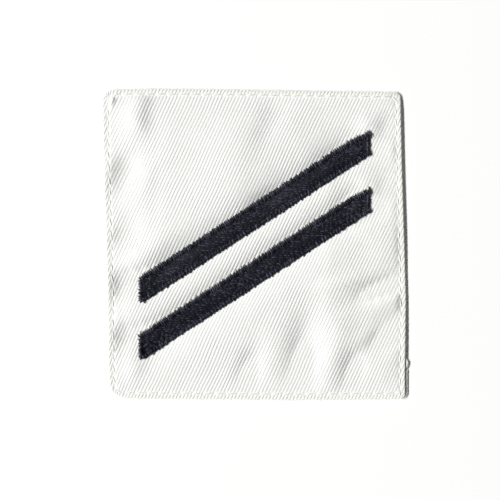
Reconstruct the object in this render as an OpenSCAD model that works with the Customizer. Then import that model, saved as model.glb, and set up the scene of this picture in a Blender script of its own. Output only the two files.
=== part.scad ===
// Cloth rank patch. A square of white twill has its hem turned under on all four sides, and two
// slanting bars are embroidered on its face. Sizes are in millimetres: X runs to the right, Y up
// the patch and Z out of its face, and the origin is under the middle of the whole outline.

/* [Ground cloth] */
// Width of the patch
patch_w = 82.5; // [80:0.1:100]
// Height of the patch
patch_h = 85.4; // [80:0.1:100]
// How far the top edge stands to the left of the bottom edge
lean = 1.4; // [0:0.1:3]
// How far the top edge falls towards its right end
top_fall = 0.4; // [0:0.1:2]
// Corner radii: top left, top right, bottom right, bottom left
corner_r = [3.3, 1.7, 1.4, 3.6]; // [1:0.1:5]
// Thickness of the cloth
cloth_t = 1; // [1:0.05:1.3]

/* [Hem] */
// Width of the hem turned under along each edge
hem_w = 12; // [8:0.5:14]
// Space between the hem and the panel over it
hem_gap = 0.15; // [0.1:0.05:0.4]
// How far the end of the bottom hem slips out past the right edge
tab_out = 1.05; // [0:0.05:2]
// Height of that end, measured from the bottom edge
tab_h = 11.5; // [6:0.5:14]

/* [Embroidered bars] */
// Length of each bar, measured along its long edges
bar_len = 76.2; // [60:0.1:78]
// Width of each bar, measured square to its long edges
bar_w = 6.35; // [5:0.05:7]
// Angle at which the bars climb to the right
bar_angle = 33; // [30:0.5:36]
// How far the bars stand to the right of the middle of the patch
bar_off = 0.1; // [-0.5:0.05:0.5]
// How far the space between the bars stands above the middle of the patch
bar_up = -0.35; // [-0.8:0.05:0.8]
// Distance from one bar up to the next, measured upright
bar_pitch = 15.75; // [14:0.25:18]
// Height of the thread above the cloth
bar_h = 0.85; // [0.5:0.05:1.2]

/* [Swell and puckers] */
// How high the panel swells above its stitched edge
swell = 1.4; // [0.8:0.05:1.6]
// Depth of the furrow that the tight embroidery pulls each bar into
furrow_depth = 1.8; // [0:0.1:2]
// Share of the full depth of the puckers
pucker_share = 1; // [0:0.1:1.2]

/* [Hidden] */

cloth_colour = [0.95, 0.95, 0.93];
thread_colour = [0.10, 0.10, 0.14];

// The fold is pressed flat: half its height, its reach inwards, and the reach of its inside
fold_r = cloth_t + hem_gap / 2;
fold_reach = 0.7 * fold_r;
fold_inside = cloth_t;
least_radius = 0.3;
// The slipped end of the hem: the run over which its upper end slopes out, how far in it is held,
// and the share by which it stands out less at the bottom
tab_slope = 1.2;
tab_hold = 3;
tab_taper = 0.2;
// Clear space between the cloth and the thread lying on it
bar_gap = 0.15;
// The thread of a bar starts at this share of its height, reaches all of it over a steep shoulder,
// keeps it over a proud rim, and is a little lower in the fill
bar_start = 0.35;
bar_shoulder = 0.55;
bar_rim = 2;
bar_fill = 0.9;
// Distances in from the ends of a bar of the lines that shape its shoulder, and how far beyond
// them the even lines start
bar_steps = [0, 0.4, 1.1];
bar_clear = 0.3;

// Puckers in the face. Each row holds the place across and up, as shares of half the width and of
// half the height, the direction in degrees, half the length, half the width and the height.
puckers = [
    [-0.78,  0.88, 80,  8.0, 3.2,  1.0],
    [-0.70,  0.77, 88,  6.0, 2.6, -0.3],
    [-0.66,  0.41, 88, 14.0, 2.6, -0.3],
    [-0.86,  0.46, 60,  7.0, 3.0, -0.8],
    [-0.72,  0.42, 62,  8.0, 3.4,  0.4],
    [-0.82,  0.13, 64,  5.0, 3.2, -0.6],
    [-0.74, -0.06, 34,  8.0, 2.6,  0.7],
    [-0.84, -0.44, 20,  7.0, 3.0,  0.5],
    [-0.80, -0.75, 80,  6.0, 3.0,  0.4],
    [ 0.93,  0.62, 84,  4.0, 2.8,  0.6],
    [ 0.93,  0.25, 84,  4.0, 2.8,  0.6],
    [ 0.89, -0.07, 80,  7.0, 5.0,  0.7],
    [ 0.86, -0.29, 20,  9.0, 2.4, -1.6],
    [ 0.88, -0.42, 25,  8.0, 3.2,  1.0],
    [ 0.88, -0.60, 30,  8.0, 3.0, -1.2],
    [ 0.90, -0.78, 50,  5.0, 3.4,  0.3],
    [-0.03, -0.79, 70,  6.0, 3.0, -1.2],
    [ 0.30, -0.66, 80, 10.0, 4.0, -1.8],
    [ 0.52, -0.75, 74,  9.0, 3.4,  0.9],
    [ 0.66, -0.82, 76,  5.0, 2.4, -1.0],
    [ 0.10,  0.77, 65,  9.0, 3.4, -0.5],
    [-0.13,  0.54, 65, 14.0, 9.0,  1.0],
    [-0.58, -0.12, 32,  5.0, 2.0, -0.5],
    [ 0.09,  0.30, 32,  5.0, 2.0, -0.7],
    [ 0.47,  0.55, 32,  5.0, 2.0, -0.7]
];
// Places where the edge stands a little off the table, in the same columns
raised = [
    [-0.98,  0.47, 72,  5.0, 2.8, 1.3],
    [-0.98,  0.05, 60,  3.5, 2.4, 0.8],
    [-0.99, -0.27, 84,  4.5, 2.8, 1.4],
    [-0.97, -0.60, 86,  4.5, 2.8, 1.2],
    [ 1.00,  0.62, 88,  4.0, 3.4, 0.3],
    [ 1.00,  0.25, 88,  4.0, 3.4, 0.3]
];
// The stitching holds the edge flat out to here, and lets puckers grow to full depth beyond it
stitched_band = 0.8;
pucker_run = 1.8;
swell_run = 13;
// Share of the swell that is lost from the upper bar's middle down to the lower bar's lower edge
swell_loss = 0.35;
// Half width of a furrow's flat floor, the run of its banks and how steeply they end at the floor
furrow_floor = bar_w / 2 - 0.6;
furrow_bank = 8;
furrow_power = 2.5;
// A furrow starts this far before its bar, and is at full depth after this run
furrow_lead = 4;
furrow_start = 11;
// This far before the right end of its bar it starts to fade, over this run, to this share of it
furrow_end = 5;
furrow_fade = 9;
furrow_rest = 0.3;
// How far the face may dip over the hem, how much further inside the hem, and the run between
hem_dip = 0.05;
panel_dip = 0.6;
panel_run = 5;

// The face is worked out on a lattice whose diagonals run along the bars, so that the bars and
// the cloth under them share their facets. The number of its steps from bar to bar is odd, which
// puts the middle line of each bar halfway between two of its lines.
pitch_steps = 9;
step_y = bar_pitch / pitch_steps;
step_x = step_y / tan(bar_angle);
grid_w = patch_w / 2 - fold_reach;
grid_h = patch_h / 2 - fold_reach;
// Distances in from the rim of the lines that shape the edge, and how far in the even ones start
edge_steps = [0, 0.9, 2.1];
even_start = 3;
// Only a band along each edge is drawn out or in, and this much inside a rim that lies further in,
// so that the lattice is even under the bars
drawn_band = 6;
drawn_least = 1.5;
cols = lattice(grid_w, step_x, 0);
rows = lattice(grid_h, step_y, bar_up);

// Angles round the outside of the fold: the lower ones also follow the slipped end of the hem
upper_turn = [60, 30, 0];
lower_turn = [-8, -45, -90];
// The loops of the cloth from the face's rim, round the fold and the hem, to the face's back.
// Each row holds how far in it lies, its height, and whether it follows the slipped end.
loops = concat(
    [for (a = upper_turn) [fold_reach * (1 - cos(a)), fold_r * (1 + sin(a)), 0]],
    [for (a = lower_turn) [fold_reach * (1 - cos(a)), fold_r * (1 + sin(a)), 1]],
    [[hem_w, 0, 0], [hem_w, cloth_t, 0], [fold_inside, cloth_t, 0]]
);
face_z = 2 * fold_r;
back_z = cloth_t + hem_gap;

outline = [for (q = rim_places()) spot(q.x, q.y, 0)];
tab_x = max([for (q = rim_places()) let (p = spot(q.x, q.y, 0)) p.x + slip(p)]);
middle = [(min([for (p = outline) p.x]) + tab_x) / 2,
          (min([for (p = outline) p.y]) + max([for (p = outline) p.y])) / 2];

function clamp(v, low, high) = min(max(v, low), high);
function ease(v) = let (s = clamp(v, 0, 1)) s * s * (3 - 2 * s);

// Even steps out from a start near the middle, then the last few short ones that shape the rim
function lattice(half, step, start) = let (n = floor((half - even_start) / step)) concat(
    [for (e = edge_steps) e - half],
    [for (k = [-n:n]) start + k * step],
    [for (k = [len(edge_steps) - 1:-1:0]) half - edge_steps[k]]
);

// Where the four edges stand when they are moved in by t
function side_x(side, y, t) = side * (patch_w / 2 - t) - lean * y / patch_h;
function top_y(x, t) = patch_h / 2 - t - top_fall * (0.5 + x / patch_w);
function end_y(side, x, t) = side > 0 ? top_y(x, t) : t - patch_h / 2;

// Distance of a point from the nearest edge
function depth_in(p) = min(
    patch_w / 2 - abs(p.x + lean * p.y / patch_h),
    top_y(p.x, 0) - p.y,
    p.y + patch_h / 2
);

// Lattice values beyond the still part are drawn out or in to meet the edge
function drawn(v, still, half, edge) =
    abs(v) <= still ? v : sign(v) * (still + (abs(v) - still) * (abs(edge) - still) / (half - still));

function radius_at(x, y) = corner_r[y > 0 ? (x < 0 ? 0 : 1) : (x > 0 ? 2 : 3)];

// Place on the patch of a lattice point, when the rim of the lattice lies in by t
function spot(x, y, t) = let (
    still_x = patch_w / 2 - max(t, drawn_band) - drawn_least,
    still_y = patch_h / 2 - max(t, drawn_band) - drawn_least,
    side = x < 0 ? -1 : 1,
    end = y < 0 ? -1 : 1,
    py = drawn(y, still_y, grid_h, end_y(end, x, t)),
    px = drawn(x, still_x, grid_w, side_x(side, py, t)),
    r = max(radius_at(x, y) - t, least_radius),
    a = r - abs(side_x(side, py, t) - px),
    b = r - abs(end_y(end, px, t) - py),
    s = a > 0 && b > 0 ? 1 - max(a, b) / norm([a, b]) : 0
) [px - side * a * s, py - end * b * s];

// Lattice places round the rim, anticlockwise from the lower left corner
function rim_places() = let (w = len(cols) - 1, h = len(rows) - 1) concat(
    [for (i = [0:w - 1]) [cols[i], rows[0]]],
    [for (j = [0:h - 1]) [cols[w], rows[j]]],
    [for (i = [w:-1:1]) [cols[i], rows[h]]],
    [for (j = [h:-1:1]) [cols[0], rows[j]]]
);

// How far the slipped end of the hem moves a point of the fold to the right
function slip(p) =
    tab_out * clamp((tab_h - patch_h / 2 - p.y) / tab_slope, 0, 1)
    * clamp(1 - (side_x(1, p.y, 0) - p.x) / tab_hold, 0, 1)
    * (1 - tab_taper * clamp(1 - (p.y + patch_h / 2) / tab_h, 0, 1));

// Depth of the furrow round the bar whose middle is at height up: along the bar it slants with
// it, and past its ends it runs on level and fades
function furrow(p, up) = let (
    half = bar_len * cos(bar_angle) / 2,
    x = clamp(p.x, bar_off - half, bar_off + half),
    off = abs(p.y - up - bar_up - x * tan(bar_angle)) * cos(bar_angle),
    near = 1 - clamp((off - furrow_floor) / furrow_bank, 0, 1),
    grown = ease((p.x - bar_off + half + furrow_lead) / furrow_start),
    gone = (1 - furrow_rest) * ease((p.x - bar_off - half + furrow_end) / furrow_fade)
) furrow_depth * pow(near, furrow_power) * grown * (1 - gone);

function pucker(p, q) = let (
    d = p - [q[0] * patch_w / 2, q[1] * patch_h / 2],
    along = d.x * cos(q[2]) + d.y * sin(q[2]),
    across = d.y * cos(q[2]) - d.x * sin(q[2])
) pucker_share * q[5] * exp(-pow(along / q[3], 2) - pow(across / q[4], 2));

function total(v, k = 0) = k < len(v) ? v[k] + total(v, k + 1) : 0;

// How far the face stands above its stitched edge
function lift(p) = let (
    t = depth_in(p),
    below = (bar_pitch / 2 + bar_up + p.x * tan(bar_angle) - p.y) / (bar_pitch + bar_w / 2),
    free = ease((t - stitched_band) / pucker_run),
    least = -hem_dip - panel_dip * ease((t - hem_w) / panel_run)
) max(least,
    swell * ease((t - stitched_band) / swell_run) * (1 - swell_loss * ease(below))
    - free * (furrow(p, bar_pitch / 2) + furrow(p, -bar_pitch / 2))
    + free * total([for (q = puckers) pucker(p, q)]));

// How far the whole edge stands off the table
function stand(p) = total([for (q = raised) pucker(p, q)]);

function face(p) = face_z + lift(p) + stand(p);

// Height of the face at a point of the even part of the lattice, and of its facets anywhere there
function lattice_face(i, j) = face([i * step_x, bar_up + j * step_y]);
function facet(p) = let (
    i = floor(p.x / step_x),
    j = floor((p.y - bar_up) / step_y),
    u = p.x / step_x - i,
    v = (p.y - bar_up) / step_y - j,
    low = lattice_face(i, j),
    high = lattice_face(i + 1, j + 1),
    side = v > u ? lattice_face(i, j + 1) : lattice_face(i + 1, j)
) low * (1 - max(u, v)) + side * abs(v - u) + high * min(u, v);

// Square cloth, hemmed all round: the face with its puckers, the fold, the hem under it and the
// back of the face, closed into one sheet of even thickness
module ground_cloth() {
    nc = len(cols);
    nr = len(rows);
    rim = rim_places();
    n = len(rim);
    front = [for (y = rows, x = cols) let (p = spot(x, y, fold_reach)) [p.x, p.y, face(p)]];
    round = [for (w = loops, q = rim) let (p = spot(q.x, q.y, w[0]))
        [p.x + w[2] * slip(p), p.y, w[1] + stand(p)]];
    back = [for (y = rows, x = cols) let (p = spot(x, y, fold_inside))
        [p.x, p.y, back_z + lift(p) + stand(p)]];
    back_0 = len(front) + len(round);
    rim_cells = concat(
        [for (i = [0:nc - 2]) i],
        [for (j = [0:nr - 2]) j * nc + nc - 1],
        [for (i = [nc - 1:-1:1]) (nr - 1) * nc + i],
        [for (j = [nr - 1:-1:1]) j * nc]
    );
    rings = concat(
        [rim_cells],
        [for (k = [0:len(loops) - 1]) [for (i = [0:n - 1]) len(front) + k * n + i]],
        [[for (c = rim_cells) back_0 + c]]
    );
    cells = [for (j = [0:nr - 2], i = [0:nc - 2]) let (a = j * nc + i) [a, a + nc, a + nc + 1, a + 1]];
    translate([-middle.x, -middle.y, 0]) color(cloth_colour) polyhedron(
        points = concat(front, round, back),
        faces = concat(
            [for (c = cells) each [[c[0], c[1], c[2]], [c[0], c[2], c[3]]]],
            [for (k = [0:len(rings) - 2], i = [0:n - 1]) let (j = (i + 1) % n) each [
                [rings[k][i], rings[k][j], rings[k + 1][j]],
                [rings[k][i], rings[k + 1][j], rings[k + 1][i]]
            ]],
            [for (c = cells) each [
                [back_0 + c[2], back_0 + c[1], back_0 + c[0]],
                [back_0 + c[3], back_0 + c[2], back_0 + c[0]]
            ]]
        )
    );
}

// Share of the thread's full height at a distance from the bar's edge
function crown(d) = d < bar_shoulder
    ? bar_start + (1 - bar_start) * sqrt(d / bar_shoulder)
    : (d < bar_rim ? 1 : bar_fill);

// One bar of close thread, with upright ends, lying on the cloth in its furrow
module bar(up) {
    left = bar_off - bar_len * cos(bar_angle) / 2;
    right = bar_off + bar_len * cos(bar_angle) / 2;
    half_h = bar_w / cos(bar_angle) / 2;
    even = bar_steps[2] + bar_clear;
    xs = concat(
        [for (e = bar_steps) left + e],
        [for (k = [ceil((left + even) / step_x):floor((right - even) / step_x)]) k * step_x],
        [for (k = [2:-1:0]) right - bar_steps[k]]
    );
    vs = concat(
        [bar_steps[0] - half_h, bar_steps[1] - half_h],
        [for (k = [-1.5:1:1.5]) k * step_y],
        [half_h - bar_steps[1], half_h - bar_steps[0]]
    );
    nx = len(xs);
    nv = len(vs);
    function place(x, v) = [x, up + bar_up + v + x * tan(bar_angle)];
    function rise(x, v) = bar_h * crown(min(x - left, right - x, (half_h - abs(v)) * cos(bar_angle)));
    under = [for (v = vs, x = xs) let (p = place(x, v)) [p.x, p.y, facet(p) + bar_gap]];
    over = [for (v = vs, x = xs) let (p = place(x, v)) [p.x, p.y, facet(p) + bar_gap + rise(x, v)]];
    m = nx * nv;
    loop = concat(
        [for (i = [0:nx - 2]) i],
        [for (j = [0:nv - 2]) j * nx + nx - 1],
        [for (i = [nx - 1:-1:1]) (nv - 1) * nx + i],
        [for (j = [nv - 1:-1:1]) j * nx]
    );
    n = len(loop);
    cells = [for (j = [0:nv - 2], i = [0:nx - 2]) let (a = j * nx + i) [a, a + nx, a + nx + 1, a + 1]];
    translate([-middle.x, -middle.y, 0]) polyhedron(
        points = concat(under, over),
        faces = concat(
            [for (c = cells) each [[m + c[0], m + c[1], m + c[3]], [m + c[1], m + c[2], m + c[3]]]],
            [for (i = [0:n - 1]) let (j = (i + 1) % n) each [
                [m + loop[i], m + loop[j], loop[j]],
                [m + loop[i], loop[j], loop[i]]
            ]],
            [for (c = cells) each [[c[3], c[1], c[0]], [c[3], c[2], c[1]]]]
        )
    );
}

// The upper bar
module bar_upper() {
    color(thread_colour) bar(bar_pitch / 2);
}

// The lower bar
module bar_lower() {
    color(thread_colour) bar(-bar_pitch / 2);
}

ground_cloth();
bar_upper();
bar_lower();
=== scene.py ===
# Cloth rank patch, lying face up: a square of white twill hemmed all round, with two slanting bars
# embroidered on it in navy thread. The view and the table are given in metres, and the patch itself
# in millimetres, in its own frame, until a mesh is made.
import math
import random

import bpy
import numpy as np
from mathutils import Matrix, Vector
from mathutils.geometry import delaunay_2d_cdt


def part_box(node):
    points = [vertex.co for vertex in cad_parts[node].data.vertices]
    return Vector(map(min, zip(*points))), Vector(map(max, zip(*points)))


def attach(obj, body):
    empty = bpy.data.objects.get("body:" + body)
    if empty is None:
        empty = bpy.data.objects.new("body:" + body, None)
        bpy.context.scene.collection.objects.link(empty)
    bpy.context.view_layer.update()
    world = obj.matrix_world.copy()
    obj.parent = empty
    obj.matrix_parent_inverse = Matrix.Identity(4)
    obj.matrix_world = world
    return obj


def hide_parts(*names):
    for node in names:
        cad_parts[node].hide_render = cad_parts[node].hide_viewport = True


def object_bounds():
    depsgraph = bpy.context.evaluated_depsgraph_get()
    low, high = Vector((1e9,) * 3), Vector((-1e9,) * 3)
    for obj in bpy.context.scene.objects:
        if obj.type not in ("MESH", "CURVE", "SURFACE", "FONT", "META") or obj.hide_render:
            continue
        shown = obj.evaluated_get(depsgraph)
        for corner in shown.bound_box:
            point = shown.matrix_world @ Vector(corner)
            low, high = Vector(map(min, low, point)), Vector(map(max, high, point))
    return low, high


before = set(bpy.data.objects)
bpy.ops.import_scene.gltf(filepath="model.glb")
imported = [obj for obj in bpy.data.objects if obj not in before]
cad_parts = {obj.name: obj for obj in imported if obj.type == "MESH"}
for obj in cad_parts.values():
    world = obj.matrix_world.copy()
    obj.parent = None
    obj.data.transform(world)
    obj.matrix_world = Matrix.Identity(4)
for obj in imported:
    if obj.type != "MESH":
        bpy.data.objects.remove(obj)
box_of_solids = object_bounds()
scene = bpy.context.scene

# The view. The patch is seen from straight above, as on the glass of a copier, and the lamp stands
# exactly to its left, about halfway up, so the raised edge throws a shadow only to the right. The
# middle of the view is placed from the patch's left edge and from its middle height.
view_w = 0.13805
view_right = 0.040527
view_up = -0.00177
camera = bpy.data.objects.new("camera", bpy.data.cameras.new("camera"))
camera.data.type = "ORTHO"
camera.data.ortho_scale = view_w
camera.data.clip_start = 0.01
camera.location = (box_of_solids[0][0] + view_right, view_up, 0.5)
scene.collection.objects.link(camera)
scene.camera = camera

lamp_climb = math.radians(47)
lamp_far = 4
lamp = bpy.data.objects.new("lamp", bpy.data.lights.new("lamp", "AREA"))
lamp.data.shape = "RECTANGLE"
lamp.data.size = 0.6
lamp.data.size_y = 4.4
lamp.data.energy = 246
lamp.data.color = (1.0, 0.998, 0.985)
lamp.location = (-lamp_far * math.cos(lamp_climb), 0, lamp_far * math.sin(lamp_climb))
lamp.rotation_euler = (0, lamp_climb - math.pi / 2, 0)
scene.collection.objects.link(lamp)

scene.world = bpy.data.worlds.new("room")
scene.world.use_nodes = True
room = scene.world.node_tree.nodes["Background"].inputs
room["Color"].default_value = (0.97, 0.985, 1.0, 1)
room["Strength"].default_value = 0.07
scene.view_settings.view_transform = "Standard"

# The table. The patch lies on plain white card, much larger than itself, whose fine fibres hardly
# show. The card stands a hair lower than the patch, so that the two share no plane.
table_half = 0.4
table_z = -0.0001
card = bpy.data.meshes.new("table")
square = ((-1, -1), (1, -1), (1, 1), (-1, 1))
card.from_pydata([(x * table_half, y * table_half, table_z) for x, y in square], [], [(0, 1, 2, 3)])
table = bpy.data.objects.new("table", card)
scene.collection.objects.link(table)


class Wire:
    """A socket of a node tree. Sums on it add Math nodes, and node() adds any other node."""

    def __init__(self, tree, socket=None):
        self.tree = tree
        self.socket = socket

    def node(self, kind, settings=(), out=0, **links):
        """A new node. Its sockets go by their names, or by i and their number."""
        made = self.tree.nodes.new(kind)
        for name, value in dict(settings).items():
            if name == "stops":
                stops = made.color_ramp.elements
                while len(stops) < len(value):
                    stops.new(0.5)
                for stop, (place, tone) in zip(stops, value):
                    stop.position = place
                    stop.color = (*tone, 1)
            else:
                setattr(made, name, value)
        for name, value in links.items():
            socket = made.inputs[int(name[1:]) if name[1:].isdigit() else name.replace("_", " ")]
            if isinstance(value, Wire):
                value.feeds(socket)
            else:
                socket.default_value = value
        return Wire(self.tree, made.outputs[out])

    def feeds(self, socket):
        self.tree.links.new(self.socket, socket)

    def second(self):
        """The second output of the node that this socket is on."""
        return Wire(self.tree, self.socket.node.outputs[1])

    def carried(self, name):
        """A value that the points of the piece carry."""
        return self.node("ShaderNodeAttribute", {"attribute_name": name}, out=2)

    def ramp(self, *stops):
        """The colour that belongs to this value, between stops of a place and a tone."""
        return self.node("ShaderNodeValToRGB", {"stops": stops}, Fac=self)

    def maths(self, operation, *values):
        links = {f"i{k}": value for k, value in enumerate(values)}
        return self.node("ShaderNodeMath", {"operation": operation}, **links)

    def __add__(self, other):
        return self.maths("ADD", self, other)

    def __radd__(self, other):
        return self.maths("ADD", other, self)

    def __sub__(self, other):
        return self.maths("SUBTRACT", self, other)

    def __rsub__(self, other):
        return self.maths("SUBTRACT", other, self)

    def __mul__(self, other):
        return self.maths("MULTIPLY", self, other)

    def __rmul__(self, other):
        return self.maths("MULTIPLY", other, self)

    def __truediv__(self, other):
        return self.maths("DIVIDE", self, other)

    def __rtruediv__(self, other):
        return self.maths("DIVIDE", other, self)


def finish_named(name, roughness, gloss, sheen):
    """A new material, with a Wire to add nodes to it and the sockets of its shader."""
    made = bpy.data.materials.new(name)
    made.use_nodes = True
    shader = made.node_tree.nodes["Principled BSDF"].inputs
    shader["Roughness"].default_value = roughness
    shader["Specular IOR Level"].default_value = gloss
    shader["Sheen Weight"].default_value = sheen
    return made, Wire(made.node_tree), shader


white_card, wire, shader = finish_named("white_card", roughness=0.9, gloss=0.2, sheen=0.0)
fibre = wire.node("ShaderNodeTexNoise", Scale=900.0, Detail=3.0)
fibre.ramp((0.3, (0.965, 0.965, 0.96)), (0.7, (0.975, 0.975, 0.972))).feeds(shader["Base Color"])
shader["Emission Color"].default_value = (1, 1, 1, 1)
shader["Emission Strength"].default_value = 0.02
card.materials.append(white_card)

# The ground cloth. The real one is a sheet of bleached cotton twill whose four sides are pressed
# under as hems that meet at mitred corners. The end of the bottom hem has slipped out to the right.
# It is cut out flat here as one blank, with its ribs, and then folded as the real one is.
patch_w = 82.5
patch_h = 85.4
# The patch leans to the left, and its top edge falls to the right
lean = 1.4
top_fall = 0.4
corner_r = (3.3, 1.7, 3.6, 1.4)  # top left, top right, bottom left, bottom right
least_r = 0.3
cloth_t = 0.46
hem_w = 12.0
hem_gap = 0.1
fold_r = cloth_t + hem_gap / 2
fold_reach = 0.4 * fold_r
fold_inside = cloth_t
face_z = 2 * fold_r
back_z = cloth_t + hem_gap


def ease(v):
    """Goes gently from 0 to 1 as v does."""
    s = np.clip(v, 0, 1)
    return s * s * (3 - 2 * s)


def side_x(side, y, t):
    """The right edge, or with side -1 the left one, at the height y and moved in by t."""
    return side * (patch_w / 2 - t) - lean * y / patch_h


def end_y(end, x, t):
    """The top edge, or with end -1 the bottom one, at the place x and moved in by t."""
    return np.where(end > 0, patch_h / 2 - t - top_fall * (0.5 + x / patch_w), t - patch_h / 2)


def edge_depths(x, y):
    """Distances in from the right, top, left and bottom edges."""
    right, top = side_x(1, y, 0) - x, end_y(1, x, 0) - y
    left, bottom = x - side_x(-1, y, 0), y - end_y(-1, x, 0)
    return np.array([right, top, left, bottom])


# The edges are not quite straight. For the right, top, left and bottom one: places along it, from -1
# at its left or lower end to 1, and how far it strays there to the right or up.
stray_reach = 9.0
strays = (
    ((-1, -0.85, -0.6, -0.35, 0.1, 0.5, 1), (-0.4, -0.38, -0.02, 0.26, 0.02, -0.22, -0.34)),
    ((-1, -0.7, -0.1, 0.4, 0.75, 1), (-0.2, 0.15, 0.0, -0.24, -0.36, -0.4)),
    ((-1, -0.75, -0.35, 0.2, 0.45, 1), (0.5, 0.15, 0.28, 0.02, -0.28, -0.22)),
    ((-1, -0.87, -0.65, 0.2, 0.5, 1), (0.4, 0.08, -0.08, -0.42, -0.35, -0.1)),
)
# Places on the right edge that are pressed flatter: across, up, reach and share of the height lost
pressings = ((patch_w / 2, patch_h / 2, 3.4, 0.5), (patch_w / 2, -11.5, 9.0, 0.2))


def strayed(points):
    """The points, moved along with the edge that they are near."""
    x, y, z = points.T
    shift = np.zeros((2, len(points)))
    for k, depth in enumerate(edge_depths(x, y)):
        place = x / (patch_w / 2) if k % 2 else y / (patch_h / 2)
        shift[k % 2] += ease(1 - depth / stray_reach) * np.interp(place, *strays[k])
    for across, up, reach, loss in pressings:
        z = z * (1 - loss * np.exp(-((x - across) ** 2 + (y - up) ** 2) / reach ** 2))
    return np.stack([x + shift[0], y + shift[1], z], axis=1)


# The slipped end of the hem: how far out and up it reaches, the height over which its upper end grows,
# the share that it loses towards the bottom, and how far in from the edge it starts to lean out
tab_out = 1.3
tab_h = 11.5
tab_grows = 1.2
tab_loss = 0.2
tab_inside = 3.0


def slip(x, y):
    """How far the slipped end of the hem lies out to the right."""
    below_top = tab_h - patch_h / 2 - y
    grown = np.clip(below_top / tab_grows, 0, 1) * (1 - tab_loss * np.clip(below_top / tab_h, 0, 1))
    return tab_out * grown * np.clip(1 - (side_x(1, y, 0) - x) / tab_inside, 0, 1)


def rounded(x, y, t):
    """Points of the ring that lies t in from the edges, moved onto its rounded corners, and the
    outward direction there."""
    side = np.where(x < 0, -1, 1)
    end = np.where(y < 0, -1, 1)
    r = np.maximum(np.choose((x > 0) + 2 * (y < 0), corner_r) - t, least_r)
    a = r - abs(side_x(side, y, t) - x)
    b = r - abs(end_y(end, x, t) - y)
    near = (a > 0) & (b > 0)
    long = np.where(near, np.hypot(a, b), 1)
    s = np.where(near, 1 - np.maximum(a, b) / long, 0)
    out_x = np.where(near, side * a / long, 0)
    out_y = np.where(near, end * b / long, 0)
    return x - side * a * s, y - end * b * s, out_x, out_y


# The tight embroidery pulls each bar into a furrow. It has a level floor and two banks, which are
# steepest at the floor. It starts a little before its bar, is at full depth after a run, and fades at
# the right end over another run to what rests of it. Beyond the ends it runs on level.
bar_len = 76.2
bar_w = 6.35
bar_angle = math.radians(33)
bar_off = 0.1
bar_up = -0.35
bar_pitch = 15.75
bar_half = bar_len * math.cos(bar_angle) / 2
furrow_depth = 1.8
furrow_floor = bar_w / 2 - 0.35
furrow_bank = 8.0
furrow_power = 2.5
furrow_lead = 4.0
furrow_start = 11.0
furrow_end = 5.0
furrow_fade = 9.0
furrow_rest = 0.3
# For each furrow: the height of its bar, its share of the depth, and the share lost at its lower side
furrows = ((bar_pitch / 2, 1.0, 0.3), (-bar_pitch / 2, 1.2, 0.2))


def furrow(x, y, up, share, loss):
    """How far the furrow of the bar at the height up pulls the cloth down."""
    across = np.clip(x, bar_off - bar_half, bar_off + bar_half)
    off = (y - up - bar_up - across * math.tan(bar_angle)) * math.cos(bar_angle)
    near = 1 - np.clip((abs(off) - furrow_floor) / furrow_bank, 0, 1)
    deep = share * (1 - loss * ease(0.5 - off / bar_w))
    grown = ease((x - bar_off + bar_half + furrow_lead) / furrow_start)
    gone = (1 - furrow_rest) * ease((x - bar_off - bar_half + furrow_end) / furrow_fade)
    return furrow_depth * deep * near ** furrow_power * grown * (1 - gone)


# The panel swells inside its stitched band, over a longer run on the right, and loses a share of that
# from the upper bar down. Puckers reach their full depth a run inside the band. The face never sinks
# deeper than a dip over the hem and a larger one inside the hem, and comes to that floor softly.
swell = 1.7
swell_run = 15.5
swell_loss = 0.25
longer_share = 0.5
longer_from = 10.0
longer_over = 15.0
stitched_band = 0.8
pucker_run = 2.4
hem_dip = 0.05
panel_dip = 0.35
panel_run = 5.0
soft_floor = 0.08
# For each pucker: its place across and up as shares of half the width and height, its direction,
# half length, half width and height
puckers = (
    (-0.78,  0.88, 80,  8.0, 3.2,  1.0),
    (-0.70,  0.77, 88,  6.0, 2.6, -0.3),
    (-0.66,  0.41, 88, 14.0, 2.6, -0.3),
    (-0.86,  0.46, 60,  7.0, 3.0, -0.8),
    (-0.72,  0.42, 62,  8.0, 3.4,  0.4),
    (-0.82,  0.13, 64,  5.0, 3.2, -0.6),
    (-0.74, -0.06, 34,  8.0, 2.6,  0.7),
    (-0.84, -0.44, 20,  7.0, 3.0,  0.5),
    (-0.80, -0.75, 80,  6.0, 3.0,  0.4),
    ( 0.93,  0.62, 84,  4.0, 2.8,  0.6),
    ( 0.93,  0.25, 84,  4.0, 2.8,  0.6),
    ( 0.87, -0.05, 80,  8.0, 5.0,  0.6),
    ( 0.86, -0.29, 20,  9.0, 2.4, -1.6),
    ( 0.90, -0.38, 20,  7.5, 3.0,  0.9),
    ( 0.88, -0.60, 30,  8.0, 3.0, -1.2),
    ( 0.90, -0.78, 50,  5.0, 3.4,  0.3),
    (-0.03, -0.79, 70,  6.0, 3.0, -1.2),
    ( 0.33, -0.66, 80, 10.0, 4.4, -1.8),
    ( 0.52, -0.75, 74,  9.0, 3.4,  0.9),
    ( 0.66, -0.82, 76,  5.0, 2.4, -1.0),
    ( 0.10,  0.77, 65,  9.0, 3.4, -0.5),
    (-0.13,  0.54, 65, 14.0, 9.0,  1.0),
    (-0.58, -0.12, 32,  5.0, 2.0, -0.3),
    ( 0.09,  0.30, 32,  5.0, 2.0, -0.7),
    ( 0.47,  0.55, 32,  5.0, 2.0, -0.4),
    ( 0.76,  0.74,  0,  3.6, 3.4,  1.4),
    ( 0.76,  0.36,  0,  3.6, 3.4,  1.4),
    ( 0.62, -0.24, 12,  8.0, 2.2,  0.9),
    ( 0.74, -0.62, 25,  5.0, 2.6,  0.6),
    (-0.80, -0.21,  8,  6.0, 2.2, -1.5),
    (-0.80, -0.58, 12,  6.0, 2.2, -1.3),
    (-0.955, 0.92, 75,  1.5, 0.8,  0.9),
)
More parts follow.
